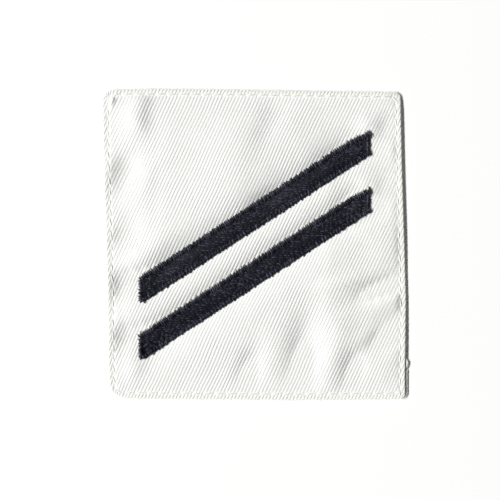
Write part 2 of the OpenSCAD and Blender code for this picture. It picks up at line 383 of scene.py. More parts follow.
# Places where the edge stands a little off the table, in the same columns
raised = (
    (-0.98,  0.47, 72,  5.0, 2.8, 1.3),
    (-0.98,  0.05, 60,  3.5, 2.4, 0.8),
    (-0.99, -0.27, 84,  4.5, 2.8, 1.4),
    (-0.97, -0.60, 86,  4.5, 2.8, 1.2),
)


def swellings(x, y, rows):
    """The height that rows like those of the puckers add up to."""
    total = 0
    for share_x, share_y, turn, length, width, height in rows:
        dx = x - share_x * patch_w / 2
        dy = y - share_y * patch_h / 2
        c = math.cos(math.radians(turn))
        s = math.sin(math.radians(turn))
        along = (dx * c + dy * s) / length
        aside = (dy * c - dx * s) / width
        total = total + height * np.exp(-along ** 2 - aside ** 2)
    return total


def lift(x, y):
    """How far the face stands above its stitched edge."""
    t = edge_depths(x, y).min(axis=0)
    up = swellings(x, y, puckers) - sum(furrow(x, y, *one) for one in furrows)
    free = ease((t - stitched_band) / pucker_run)
    least = -hem_dip - panel_dip * ease((t - hem_w) / panel_run)
    below = (bar_pitch / 2 + bar_up + x * math.tan(bar_angle) - y) / (bar_pitch + bar_w / 2)
    run = swell_run * (1 + longer_share * ease((x - longer_from) / longer_over))
    risen = swell * ease((t - stitched_band) / run) * (1 - swell_loss * ease(below))
    return least + soft_floor * np.logaddexp(0, (risen + free * up - least) / soft_floor)


# The ribs of the twill climb steeply to the right. Each is a round ridge beside a narrow valley, and
# the cuts are the places across a rib where the sheet gets its points.
rib_turn = math.radians(65.2)
rib_pitch = 0.864
rib_relief = 0.11
rib_round = 0.9
rib_cuts = np.array([0.0, 0.13, 0.31, 0.5, 0.69, 0.87])


def rib_place(x, y):
    """The place across the ribs, counted in ribs."""
    return (x * math.sin(rib_turn) - y * math.cos(rib_turn)) / rib_pitch


def rib_height(place):
    """The height of a rib, from 0 in the valley to 1 on its back."""
    part = place - np.floor(place)
    valley = math.sqrt(1 - rib_round)
    return (np.sqrt(1 - rib_round * (2 * part - 1) ** 2) - valley) / (1 - valley)


def unevenness(x, y, seed, size):
    """Smooth chance from about -1 to 1, with features of about that size."""
    chance = random.Random(seed)
    total = 0
    for _ in range(7):
        a = chance.uniform(0, math.pi)
        k = chance.uniform(0.5, 1.5) * 2 * math.pi / size
        total = total + np.sin(k * (x * math.cos(a) + y * math.sin(a)) + chance.uniform(0, 7))
    return total / 4


# The blank is the panel with a mitred flap on each side. A point that is some way beyond the panel's
# rim is carried round the fold and along the hem: these give how far in it then lies, how high, and
# its tilt, and at which ways the flap is cut into points. The outer form is for the right side of the
# cloth, and the inner one for its wrong side.
tilts = np.radians(np.linspace(90, -90, 61))
round_in = fold_reach * (1 - np.cos(tilts))
round_up = fold_r * (1 + np.sin(tilts))
round_way = np.concatenate([[0], np.cumsum(np.hypot(np.diff(round_in), np.diff(round_up)))])
round_cuts = np.linspace(0, round_way[-1], 25)
hem_cuts = round_way[-1] + np.linspace(0, hem_w - fold_reach, 17)[1:]
outer = {
    "rim": fold_reach,
    "way": np.append(round_way, round_way[-1] + hem_w - fold_reach),
    "in": np.append(round_in, hem_w),
    "up": np.append(round_up, 0),
    "tilt": np.append(tilts, tilts[-1]),
    "cuts": np.append(round_cuts, hem_cuts),
}
inner = {
    "rim": fold_inside,
    "way": np.array([0, hem_gap, hem_gap + hem_w - fold_inside]),
    "in": np.array([fold_inside, fold_inside, hem_w]),
    "up": np.array([back_z, cloth_t, cloth_t]),
    "tilt": np.zeros(3),
    "cuts": np.append(0, hem_gap + np.linspace(0, hem_w - fold_inside, 8)),
}
sides = np.array([(1, 0), (0, 1), (-1, 0), (0, -1)])
raw_points = 150
cut_stretch = 7


def flat_place(k, depth, m, other):
    """Points of the blank at one depth in from side k and another in from the side m next to it."""
    x = y = 0 * depth
    for _ in range(4):
        for n, d in ((k, depth), (m, other)):
            if sides[n][0]:
                x = side_x(sides[n][0], y, 0) - sides[n][0] * d
            else:
                y = end_y(sides[n][1], x, 0) - sides[n][1] * d
    return np.stack([x, y], axis=1)


def cut_blank(form, loose, room):
    """The blank as points and triangles, and its mitred and raw edges as lists of points. It takes
    the loose points that lie on it with this much room to its edges."""
    points, flaps, count = [], [], 0
    inset = np.interp(form["cuts"], form["way"], form["in"])
    for k in range(4):
        start = flat_place(k, form["rim"] - form["cuts"], (k - 1) % 4, inset)
        stop = flat_place(k, form["rim"] - form["cuts"], (k + 1) % 4, inset)
        raw = start[-1] + (stop[-1] - start[-1]) * np.linspace(0, 1, raw_points + 1)[1:-1, None]
        points += [start, raw, stop[:0:-1]]
        n = len(start)
        total = 2 * n + len(raw) - 1
        start_run = np.arange(n)
        raw_run = np.arange(n - 1, n + len(raw) + 1)
        stop_run = np.arange(total - 1, n + len(raw) - 1, -1)
        flaps.append((count + start_run, count + raw_run, count + stop_run))
        count += total
    depths = edge_depths(*loose.T)
    depth, nearest = depths.min(axis=0), depths.argmin(axis=0)
    beside = np.where(nearest % 2, depths[::2].min(axis=0), depths[1::2].min(axis=0))
    way = np.maximum(form["rim"] - depth, 0)
    off_mitre = beside > np.interp(way, form["way"], form["in"]) + room
    on_flap = off_mitre & (way < form["way"][-1] - room)
    points = np.concatenate(points + [loose[(way == 0) | on_flap]])
    # The sheet is stretched across its ribs while it is cut, so that its long facets run along them
    along = points @ (math.cos(rib_turn), math.sin(rib_turn))
    stretched = np.stack([rib_place(*points.T) * cut_stretch, along], axis=1)
    corners = [Vector(p) for p in stretched]
    _, _, faces, came_from, _, _ = delaunay_2d_cdt(corners, [], [list(range(count))], 1, 1e-5)
    return points, np.array([[came_from[i][0] for i in f] for f in faces]), flaps


def fold_up(form, flat, drawn):
    """Carries flat points to their place on the patch, those of the panel drawn aside. Gives them, how
    far in each lies from the edge, whether it lies past the panel's rim, its tilt and its outward
    direction."""
    depths = edge_depths(*flat.T)
    depth, nearest = depths.min(axis=0), depths.argmin(axis=0)
    past = depth <= form["rim"] + 1e-6
    way = np.maximum(form["rim"] - depth, 0)
    ring = np.interp(way, form["way"], form["in"])
    side, end = sides[nearest].T
    x = np.where(past & (side != 0), side_x(side, flat[:, 1], ring), flat[:, 0] + drawn)
    y = np.where(past & (end != 0), end_y(end, flat[:, 0], ring), flat[:, 1])
    x, y, corner_x, corner_y = rounded(x, y, ring)
    tilt = np.where(past, np.interp(way, form["way"], form["tilt"]), math.pi / 2)
    top = np.clip(np.where(past, np.sin(tilt), 1), 0, 1)
    z = np.where(past, np.interp(way, form["way"], form["up"]), form["up"][0])
    z = z + top ** 2 * lift(x, y) + swellings(x, y, raised)
    turned = (corner_x != 0) | (corner_y != 0)
    out_x = np.where(turned, corner_x, side) * np.cos(tilt)
    out_y = np.where(turned, corner_y, end) * np.cos(tilt)
    out = np.stack([out_x, out_y, np.sin(tilt)], axis=1)
    return np.stack([x, y, z], axis=1), np.where(past, ring, depth), past, tilt, out


# The right side: points in rows along the ribs, closer together round the fold
row_step = 0.45
rib_reach = 100
row_reach = 190
fine_from = fold_reach - round_way[-1] - 0.3
fine_to = 2.7
ribs = np.arange(-rib_reach, rib_reach + 1)[:, None]
across = ((ribs + rib_cuts).ravel() * rib_pitch)[:, None]
rows = np.arange(-row_reach, row_reach + 1)[None, :]
loose_x = across * math.sin(rib_turn) + rows * row_step * math.cos(rib_turn)
loose_y = rows * row_step * math.sin(rib_turn) - across * math.cos(rib_turn)
loose = np.stack([loose_x.ravel(), loose_y.ravel()], axis=1)
depth = edge_depths(*loose.T).min(axis=0)
every_fourth = (rows % 4 + 0 * across).ravel() == 0
near_fold = (depth > fine_from) & (depth < fine_to)
flat, right_faces, flaps = cut_blank(outer, loose[every_fourth | near_fold], room=0.09)
# The ribs do not run quite straight, but are drawn aside a little from some way inside the edge
rib_drift = 0.2
drift_from = 2.0
drift_over = 4.0
depth = edge_depths(*flat.T).min(axis=0)
drawn = ease((depth - drift_from) / drift_over) * rib_drift * unevenness(*flat.T, seed=5, size=19)
right, inset, past, tilt, out = fold_up(outer, flat, drawn)

# Each rib is a little higher or lower than the next. All of them stand out more in some patches,
# broad ones and small ones, and less on the right.
rib_spread = 0.14
broad_patches = 0.42
small_patches = 0.2
rib_loss = 0.25
loss_from = 22.0
loss_over = 12.0
place = rib_place(*flat.T)
each_rib = np.random.default_rng(11).normal(1, rib_spread, 400)[np.floor(place).astype(int) % 400]
patchy = broad_patches * unevenness(*flat.T, seed=8, size=13)
patchy += small_patches * unevenness(*flat.T, seed=9, size=2.2)
relief = rib_relief * each_rib * (1 + patchy)
relief *= 1 - rib_loss * ease((flat[:, 0] - loss_from) / loss_over)
on_mitre = np.zeros(len(flat), bool)
for start, _, stop in flaps:
    on_mitre[start[1:]] = on_mitre[stop] = True


def ring_line(t, step):
    """A closed line round the patch, t in from its edges."""
    line = []
    for k in range(4):
        start = flat_place(k, np.array([t]), (k - 1) % 4, np.array([t]))[0]
        stop = flat_place(k, np.array([t]), (k + 1) % 4, np.array([t]))[0]
        count = int(np.hypot(*(stop - start)) / step)
        line.append(start + (stop - start) * np.linspace(0, 1, count + 1)[:-1, None])
    line = np.concatenate(line + [line[0][:1]])
    x, y, _, _ = rounded(line[:, 0], line[:, 1], t)
    return x, y


# The row of lockstitch round the edge presses a groove into both faces, and its needle holes go
# deeper. The ribs are nearly flat beside it, and the valleys between them are deeper on the fold.
seam_in = 1.5
seam_pitch = 3.1
seam_flat = 0.75
seam_flat_in = seam_in + 0.1
groove_depth = 0.1
groove_half = 0.5
hole_depth = 0.2
hole_r = 0.3
hole_reach = 0.7
fold_relief = 0.4
fold_half = 1.1
seam_x, seam_y = ring_line(seam_in, 0.5)
seam_way = np.append(0, np.cumsum(np.hypot(np.diff(seam_x), np.diff(seam_y))))
seam_count = int(seam_way[-1] / seam_pitch)
hole_way = (np.arange(seam_count) + 0.5) * seam_way[-1] / seam_count
holes = np.stack([np.interp(hole_way, seam_way, line) for line in (seam_x, seam_y)], axis=1)
near_seam = np.flatnonzero(abs(inset - seam_in) < hole_reach)
from_hole = np.hypot(*(right[near_seam, None, :2] - holes[None]).transpose(2, 0, 1)).min(axis=1)
in_seam = np.exp(-((inset - seam_flat_in) / groove_half) ** 4)
sink = relief * (1 - np.where(on_mitre, 0, rib_height(place))) * (1 - seam_flat * in_seam)
sink *= 1 + fold_relief * np.exp(-(inset / fold_half) ** 2)
sink += groove_depth * np.exp(-((inset - seam_in) / groove_half) ** 2)
sink[near_seam] += hole_depth * np.exp(-(from_hole / hole_r) ** 2)

# The slipped end of the hem comes out from under the face as a smooth flap: a gap, a ridge and its
# outer fold. The steps are shares of the turn round the fold between two tilts in degrees, and for
# each come the share of the slip and the height. The flap takes its own height where it has slipped
# far enough, and its ribs are nearly gone as far in as given.
flap_from = 20
flap_to = -60
flap_steps = (0, 0.12, 0.3, 0.55, 0.8, 1)
flap_out = (0, 0.02, 0.25, 0.42, 0.76, 0.9)
flap_up = (0.69, 0.42, 0.52, 0.44, 0.2, 0.03)
flap_least = 0.02
flap_grows = 0.6
flap_smooth = 0.95
flap_smooth_in = seam_in - 0.6
# Its upper end stands up as a small roll with a crease under it. Both are given by their distance
# below the upper end, half width and height, and by their strength over the steps of the roll.
roll = (1.7, 1.2, 0.38)
crease = (3.3, 0.3, -0.45)
roll_steps = (0.1, 0.3, 0.78, 1)
roll_strength = (0, 0.15, 1, 0)
slipped = slip(right[:, 0], right[:, 1]) * past
sink *= 1 - flap_smooth * np.clip(slipped, 0, 1) * (inset < flap_smooth_in)
right -= out * sink[:, None]
turned = np.clip((flap_from - np.degrees(tilt)) / (flap_from - flap_to), 0, 1)
below_top = tab_h - patch_h / 2 - right[:, 1]
rolled = roll[2] * np.exp(-((below_top - roll[0]) / roll[1]) ** 4)
rolled += crease[2] * np.exp(-((below_top - crease[0]) / crease[1]) ** 2)
flap_z = np.interp(turned, flap_steps, flap_up) + rolled * np.interp(turned, roll_steps, roll_strength)
flap_z = np.maximum(flap_least, flap_z)
on_flap = np.clip(slipped / flap_grows, 0, 1) * (turned > 0) * (turned < 1)
right[:, 0] += slipped * np.interp(turned, flap_steps, flap_out)
right[:, 2] += on_flap * (flap_z - fold_r * (1 + np.sin(tilt)))

# The wrong side is a coarser sheet, and meets the right side along the raw edge of the hem
wrong_step = 1.8
wrong_reach = 29
steps = np.arange(-wrong_reach, wrong_reach + 1) * wrong_step
loose = np.stack([a.ravel() for a in np.meshgrid(steps, steps)], axis=1)
inner_flat, wrong_faces, inner_flaps = cut_blank(inner, loose, room=0.5)
wrong, *_ = fold_up(inner, inner_flat, 0)

# Both are sewn into one closed skin: mitre to mitre, and raw edge to raw edge
n = len(right)
weld = np.arange(n + len(wrong))
edge_faces = []
for k in range(4):
    for base, runs in ((0, flaps), (n, inner_flaps)):
        weld[base + runs[k - 1][2]] = base + runs[k][0][1:]
    low, high = flaps[k][1], n + inner_flaps[k][1]
    edge_faces += [(low[i + 1], low[i], high[i], high[i + 1]) for i in range(raw_points)]
faces = [weld[f] for f in right_faces]
faces += [weld[n + f[::-1]] for f in wrong_faces]
faces += [weld[list(f)] for f in edge_faces]
used, numbers = np.unique(np.concatenate(faces), return_inverse=True)
skin = np.concatenate([right, wrong])[used]
laid = np.concatenate([flat, inner_flat])[used]
sizes = np.cumsum([0] + [len(f) for f in faces])
faces = [numbers[sizes[i]:sizes[i + 1]].tolist() for i in range(len(faces))]

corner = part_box("ground_cloth")[0] * 1000
to_frame = np.array([corner.x - skin[:, 0].min(), corner.y - skin[:, 1].min(), 0])
skin = strayed(skin)


def piece_from(name, points, faces, finish):
    """A new smooth piece from points in millimetres in the patch's own frame."""
    mesh = bpy.data.meshes.new(name)
    mesh.from_pydata(((points + to_frame) / 1000).tolist(), [], faces)
    mesh.materials.append(finish)
    mesh.shade_smooth()
    piece = bpy.data.objects.new(name, mesh)
    scene.collection.objects.link(piece)
    return piece


white_twill, wire, shader = finish_named("white_twill", roughness=0.85, gloss=0.2, sheen=0.6)
wrong_side, wrong_wire, wrong_shader = finish_named("white_twill_wrong_side", roughness=0.9,
                                                    gloss=0.15, sheen=0.1)
cloth = piece_from("ground_cloth_twill", skin, faces, white_twill)
cloth.data.materials.append(wrong_side)
first_wrong = len(right_faces)
cloth.data.polygons.foreach_set("material_index", [int(i >= first_wrong) for i in range(len(faces))])

# The cloth's own map holds each point's place on the flat blank, 1 unit of it being this many mm
blank_size = 120.0
cloth_map = cloth.data.uv_layers.new(name="blank")
corner_of = np.empty(len(cloth.data.loops), int)
cloth.data.loops.foreach_get("vertex_index", corner_of)
cloth_map.data.foreach_set("uv", (laid[corner_of] / blank_size + 0.5).ravel())


def carry(name, values):
    """Lets each point of the cloth's right side carry a value, and each one of the wrong side 0."""
    all_values = np.append(values, np.zeros(len(wrong)))[used].astype(np.float32)
    cloth.data.attributes.new(name, "FLOAT", "POINT").data.foreach_set("value", all_values)


# The cloth is worn on its fold, about this far in. Where the fold faces the top or the bottom, down to
# this tilt, it glows with painted light so that its turn looks lit. The weave's painted shade is
# weaker in the band beside the seam.
worn_in = 1.2
painted_light_to = -0.9
carry("wear", np.exp(-(inset / worn_in) ** 2))
carry("edge_glow", abs(out[:, 1]) * (tilt > painted_light_to))
carry("seam_band", in_seam)

# Bleached cotton: each rib is a row of short upright floats, and each valley a chain of small dips
# where the yarns go under. The valleys and dips are painted darker than the ribs, as painted shade.
ends_apart = 0.238


def weave(wire):
    """Place on the blank, and the weave from 0 to 1: the valleys between the ribs as a whole, the
    short upright dips that they are made of, one in each yarn, and the yarns themselves."""
    spot = wire.node("ShaderNodeUVMap", {"uv_map": "blank"})
    split = wire.node("ShaderNodeSeparateXYZ", Vector=spot)
    x = (split - 0.5) * blank_size
    y = (split.second() - 0.5) * blank_size
    yarn = (wire.maths("FLOOR", x / ends_apart) + 0.5) * ends_apart
    down = y * (math.cos(rib_turn) / rib_pitch)
    dark = []
    for across in (x, yarn):
        ribs = across * (math.sin(rib_turn) / rib_pitch) - down
        wave = wire.maths("COSINE", ribs * (2 * math.pi)) * 0.5 + 0.5
        dark.append(wire.maths("POWER", wave, 3.0))
    round_yarn = wire.maths("COSINE", x * (2 * math.pi / ends_apart)) * 0.5 + 0.5
    return spot, *dark, round_yarn


spot, valley, dips, round_yarn = weave(wire)
lint = wire.node("ShaderNodeTexNoise", Vector=spot, Scale=260.0, Detail=4.0, Roughness=0.6) - 0.5
broad = wire.node("ShaderNodeTexNoise", Vector=spot, Scale=30.0, Detail=3.0) - 0.5
broken = wire.node("ShaderNodeClamp", Value=lint * 3.5 + 0.5) * 0.9 + 0.45
# Painted shade: the valleys and dips of the weave are darkened in the colour, broken up by lint and
# weaker beside the seam; lint and broad noise add tone that differs at random
shade = (dips * 0.7 + valley * 0.2) * broken * (1 - wire.carried("seam_band") * 0.7)
shade = shade + lint * 0.5 + broad * 0.4
tones_with_painted_shade = (0.0, (0.925, 0.925, 0.91)), (0.5, (0.85, 0.85, 0.835)), (1.0, (0.66, 0.66, 0.655))
bleached_with_painted_shade = shade.ramp(*tones_with_painted_shade)
worn = wire.node("ShaderNodeMix", {"data_type": "RGBA", "blend_type": "MULTIPLY"}, out=2,
                 i0=wire.carried("wear") * 0.5, i6=bleached_with_painted_shade, i7=(0.98, 0.975, 0.90, 1))
speck = wire.node("ShaderNodeTexNoise", Vector=spot, Scale=95.0, Detail=1.0, Distortion=1.5)
rosy = wire.maths("GREATER_THAN", speck, 0.77) * 0.5
flecked = wire.node("ShaderNodeMix", {"data_type": "RGBA"}, out=2, i0=rosy, i6=worn,
                    i7=(0.86, 0.66, 0.66, 1))
flecked.feeds(shader["Base Color"])
# Painted light: the fold's turn at the top and bottom edges glows, as if lit
wire.carried("edge_glow").feeds(shader["Emission Color"])
shader["Emission Strength"].default_value = 0.32
height = round_yarn * (1 - valley) * 0.3 - dips + lint * 1.8
wire.node("ShaderNodeBump", Strength=0.6, Distance=0.00006, Height=height).feeds(shader["Normal"])

spot, valley, dips, round_yarn = weave(wrong_wire)
lint = wrong_wire.node("ShaderNodeTexNoise", Vector=spot, Scale=220.0, Detail=4.0) - 0.5
# Painted shade: the valleys and dips of the wrong side are darkened in its colour, with lint as tone
# that differs at random
shade = dips * 0.5 + valley * 0.3 + lint * 0.4
shade.ramp((0.0, (0.90, 0.90, 0.87)), (1.0, (0.78, 0.78, 0.745))).feeds(wrong_shader["Base Color"])
height = round_yarn * 0.5 - dips + lint
bump = wrong_wire.node("ShaderNodeBump", Strength=0.6, Distance=0.00008, Height=height)
bump.feeds(wrong_shader["Normal"])

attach(cloth, "root")
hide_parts("ground_cloth")

# The edge stitching. A row of white lockstitch runs round the patch just inside its fold, through
# the face and the hem. Each stitch is a short arch of thread that dips into the cloth at both ends.
# On the back, short ends of yarn fray out of the raw edge of the hem.


def row_of_stitches():
    """A tree that lays one stitch after another along the lines of a mesh."""
    tree = bpy.data.node_groups.new("row_of_stitches", "GeometryNodeTree")
    numbers = ("Pitch", "Length", "Rise", "Thread", "Turn", "Turn Spread", "Length Spread",
               "Height Spread", "Side Step", "Point", "Bluntness")
    asked = {"Lines": "Geometry", **dict.fromkeys(numbers, "Float"), "Sections": "Int", "Seed": "Int",
             "Finish": "Material"}
    for name, kind in asked.items():
        tree.interface.new_socket(name, in_out="INPUT", socket_type="NodeSocket" + kind)
    tree.interface.new_socket("Stitches", in_out="OUTPUT", socket_type="NodeSocketGeometry")
    given = tree.nodes.new("NodeGroupInput").outputs
    want = {name: Wire(tree, given[name]) for name in asked}
    start = Wire(tree)

    def chance(low, high, step):
        return start.node("FunctionNodeRandomValue", {"data_type": "FLOAT"}, out=1, i2=low, i3=high,
                          Seed=want["Seed"] + step)

    def vector(**parts):
        return start.node("ShaderNodeCombineXYZ", **parts)

    def stored(geometry, name, value, domain="POINT"):
        return start.node("GeometryNodeStoreNamedAttribute", {"data_type": "FLOAT", "domain": domain},
                          Geometry=geometry, Name=name, Value=value)

    lines = start.node("GeometryNodeMeshToCurve", Mesh=want["Lines"])
    spots = start.node("GeometryNodeResampleCurve", {"mode": "LENGTH"}, Curve=lines,
                       Length=want["Pitch"])
    way = start.node("ShaderNodeSeparateXYZ", Vector=start.node("GeometryNodeInputTangent"))
    heading = start.maths("ARCTAN2", way.second(), way)
    turned = heading + want["Turn"] + want["Turn Spread"] * chance(-1.0, 1.0, 1)
    step = want["Side Step"] * chance(-1.0, 1.0, 2)
    aside = vector(X=step * start.maths("COSINE", turned), Y=step * start.maths("SINE", turned),
                   Z=want["Height Spread"] * chance(-1.0, 1.0, 3))
    spots = start.node("GeometryNodeSetPosition", Geometry=spots, Offset=aside)
    half = want["Length"] * 0.5
    arch = start.node("GeometryNodeCurveQuadraticBezier", Resolution=want["Sections"],
                      Start=vector(X=0 - half), Middle=vector(Z=want["Rise"] * 2), End=vector(X=half))
    along = start.node("GeometryNodeSplineParameter")
    arch = stored(arch, "along", along)
    ring = start.node("GeometryNodeCurvePrimitiveCircle", Resolution=6, Radius=1.0)
    ring = stored(ring, "around", along)
    from_middle = start.maths("ABSOLUTE", along * 2 - 1)
    taper = 1 - want["Point"] * start.maths("POWER", from_middle, want["Bluntness"])
    stitch = start.node("GeometryNodeCurveToMesh", Curve=arch, Profile_Curve=ring, Fill_Caps=True,
                        Scale=want["Thread"] * taper)
    stretch = 1 + want["Length Spread"] * chance(-1.0, 1.0, 4)
    row = start.node("GeometryNodeInstanceOnPoints", Points=spots, Instance=stitch,
                     Rotation=vector(Z=turned), Scale=vector(X=stretch, Y=1.0, Z=1.0))
    row = stored(row, "own_tone", chance(0.0, 1.0, 5), "INSTANCE")
    row = start.node("GeometryNodeRealizeInstances", Geometry=row)
    row = start.node("GeometryNodeSetMaterial", Geometry=row, Material=want["Finish"])
    row.feeds(tree.nodes.new("NodeGroupOutput").inputs[0])
    return tree


stitch_tree = row_of_stitches()
lengths = ("Pitch", "Length", "Rise", "Thread", "Height Spread", "Side Step")


def sewn(name, lines, finish, **sizes):
    """A piece of stitches along lines of points, with lengths given in millimetres."""
    sizes = {"Point": 0.65, "Bluntness": 3.0, "Finish": finish, **sizes}
    edges, first = [], 0
    for line in lines:
        edges += [(first + i, first + i + 1) for i in range(len(line) - 1)]
        first += len(line)
    mesh = bpy.data.meshes.new(name)
    mesh.from_pydata(((np.concatenate(lines) + to_frame) / 1000).tolist(), edges, [])
    piece = bpy.data.objects.new(name, mesh)
    scene.collection.objects.link(piece)
    grow = piece.modifiers.new("stitches", "NODES")
    grow.node_group = stitch_tree
    for socket in stitch_tree.interface.items_tree:
        value = sizes.get(socket.name.replace(" ", "_"))
        if value is not None:
            grow[socket.identifier] = value / 1000 if socket.name in lengths else value
    graph = bpy.context.evaluated_depsgraph_get()
    piece.data = bpy.data.meshes.new_from_object(piece.evaluated_get(graph))
    piece.modifiers.clear()
    piece.data.shade_smooth()
    return piece


def thread_finish(name, surface, twist, stops, own_share, ply_share, relief):
    """A spun thread, whose surface is its roughness, gloss and sheen. Its plies wind round it, this
    fast along a stitch, and each stitch has a tone of its own between the stops."""
    made, wire, shader = finish_named(name, *surface)
    ply = wire.maths("SINE", wire.carried("along") * twist + wire.carried("around") * (4 * math.pi))
    shade = wire.carried("own_tone") * own_share + ply * ply_share + (1 - own_share - ply_share)
    shade.ramp(*stops).feeds(shader["Base Color"])
    wire.node("ShaderNodeBump", Strength=relief, Distance=0.00004, Height=ply).feeds(shader["Normal"])
    return made, shader


off_white = (0.0, (0.89, 0.89, 0.87)), (1.0, (0.94, 0.94, 0.93))
sewing_thread, _ = thread_finish("white_sewing_thread", surface=(0.6, 0.35, 0.1), twist=40.0,
                                 stops=off_white, own_share=0.6, ply_share=0.2, relief=0.6)

# The row is sunk into the cloth, less so along the top edge. On the back its stitches lie flat, and so
# do the frayed ends of the hem's raw edge.
row_sunk = 0.28
top_row_sunk = 0.2
under_row_z = 0.14
raw_edge_z = 0.24
stand = swellings(seam_x, seam_y, raised)
at_top = edge_depths(seam_x, seam_y)[1] < seam_in + 0.3
face_row_z = face_z + lift(seam_x, seam_y) + stand - np.where(at_top, top_row_sunk, row_sunk)
top_line = np.stack([seam_x, seam_y, face_row_z], axis=1)
under_line = np.stack([seam_x, seam_y, stand + under_row_z], axis=1)
raw_x, raw_y = ring_line(hem_w, 0.5)
raw_line = np.stack([raw_x, raw_y, 0 * raw_x + raw_edge_z], axis=1)
face_row = sewn("edge_stitching", [strayed(top_line)], sewing_thread, Pitch=seam_pitch, Length=2.7,
                Rise=0.22, Thread=0.14, Turn=0.12, Turn_Spread=0.07, Length_Spread=0.06,
                Height_Spread=0.02, Side_Step=0.04, Sections=10, Seed=3)
hem_row = sewn("hem_stitching", [strayed(under_line)], sewing_thread, Pitch=seam_pitch, Length=2.7,
               Rise=0.0, Thread=0.13, Turn=0.0, Turn_Spread=0.05, Length_Spread=0.06,
               Height_Spread=0.0, Side_Step=0.04, Sections=6, Seed=4)
fray = sewn("hem_fray", [strayed(raw_line)], sewing_thread, Pitch=0.3, Length=1.1, Rise=0.03,
            Thread=0.05, Turn=math.pi / 2, Turn_Spread=0.5, Length_Spread=0.4, Height_Spread=0.16,
            Side_Step=0.25, Sections=4, Seed=6)
for piece in (face_row, hem_row, fray):
    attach(piece, "root")
# What is turned under on each side, taken midway between the two skins of the cloth
turned_in = np.mean([form["way"][-1] - 2 * form["rim"] for form in (outer, inner)])

# The bars. Each is machine embroidery in navy thread: a padded body, rows of short fill stitches
# across it, and a border of close satin stitches all round, whose ends make a ragged outline. The
# bobbin thread shows on the wrong side.
# Each navy stitch takes its tone between these stops. The bright top stop stands for glints on the
# thread, a painted highlight; the rest is tone that differs at random.
navy_with_painted_glints = (0.0, (0.0035, 0.0035, 0.0085)), (0.45, (0.007, 0.007, 0.0145)), (1.0, (0.072, 0.072, 0.098))
navy_thread, shader = thread_finish("navy_thread", surface=(0.42, 0.42, 0.0), twist=24.0,
                                    stops=navy_with_painted_glints, own_share=0.85, ply_share=0.1, relief=0.7)
shader["Specular Tint"].default_value = (0.85, 0.85, 1.0, 1)

# The thread stands out past the bar's length on the left and stops short of it on the right. Its
# upper edge bends down before the right end: from where, over what run, and how far.
half_h = bar_w / math.cos(bar_angle) / 2
left_out = 0.3
right_in = 0.1
bend_from = 5.2
bend_run = 3.8
bend_down = 0.85
# The padding falls away from this share of the half height below the middle, over this share of it
fall_from = 0.1
fall_run = 0.7


def on_bar(x, v, up, height):
    """Points of a bar: x across the patch, v upright from its middle line, height above the cloth."""
    y = up + bar_up + v + x * math.tan(bar_angle)
    return np.stack([x, y, face_z + lift(x, y) + height], axis=1)


def upper_edge(x):
    """How far the upper edge of a bar bends down towards its right end."""
    return bend_down * np.clip((x - bar_off - bar_half + bend_from) / bend_run, 0, 1)


def fallen(v, high):
    """How far, from 0 to 1, the padding has fallen away towards the lower edge of a bar."""
    return ease((-v / high - fall_from) / fall_run)


# The padding: how far it lies inside the bar on the left, on the right and upright, its height at the
# rim, what its crown adds, how far in that is full, the share lost where it has fallen away, and how
# far it is sunk
pad_left = 0.1
pad_right = 0.4
pad_in = 0.36
pad_rim = 0.15
pad_crown = 0.35
pad_round = 0.55
pad_loss = 0.6
pad_sunk = 0.1


def bar_body(name, up):
    """The padding under the thread, crowned, and sunk a little into the ribs of the cloth."""
    left, right = bar_off - bar_half + pad_left, bar_off + bar_half - pad_right
    high = half_h - pad_in
    # The points lie closer together near the rim
    rim_x, rim_v = np.array([0, 0.25, 0.6]), np.array([0, 0.3, 0.7])
    xs = np.concatenate([left + rim_x, np.linspace(left + 1.2, right - 1.2, 70), right - rim_x[::-1]])
    vs = np.concatenate([rim_v - high, np.linspace(1.3 - high, high - 1.3, 6), high - rim_v[::-1]])
    x, v = (grid.ravel() for grid in np.meshgrid(xs, vs))
    inside = np.minimum(np.minimum(x - left, right - x), (high - abs(v)) * math.cos(bar_angle))
    v = v - upper_edge(x) * (v + high) / (2 * high)
    crown = pad_rim + pad_crown * np.sqrt(np.clip(inside / pad_round, 0, 1))
    top = on_bar(x, v, up, crown * (1 - pad_loss * fallen(v, high)))
    bottom = on_bar(x, v, up, -pad_sunk)
    across, upright, count = len(xs), len(vs), len(x)
    corners = np.array([0, 1, across + 1, across])
    cells = [tuple(corners + j * across + i) for j in range(upright - 1) for i in range(across - 1)]
    rim = list(range(across)) + [j * across + across - 1 for j in range(1, upright)]
    rim += [count - 2 - i for i in range(across - 1)] + [j * across for j in range(upright - 2, 0, -1)]
    walls = [(count + a, count + b, b, a) for a, b in zip(rim, rim[1:] + rim[:1])]
    under = [tuple(count + i for i in cell[::-1]) for cell in cells]
    return piece_from(name, np.concatenate([top, bottom]), cells + under + walls, navy_thread)


# The rows of the fill: how far apart they lie and how far in from the ends, their climb in degrees,
# how much that varies and how fast, and their height above the cloth, how much it varies and what it
# loses with the padding
fill_apart = 0.6
fill_in = 1.5
fill_climb = 4
fill_fan = 9
fill_wave = 0.35
fill_high = 0.42
fill_spread = 0.04
fill_loss = 0.32


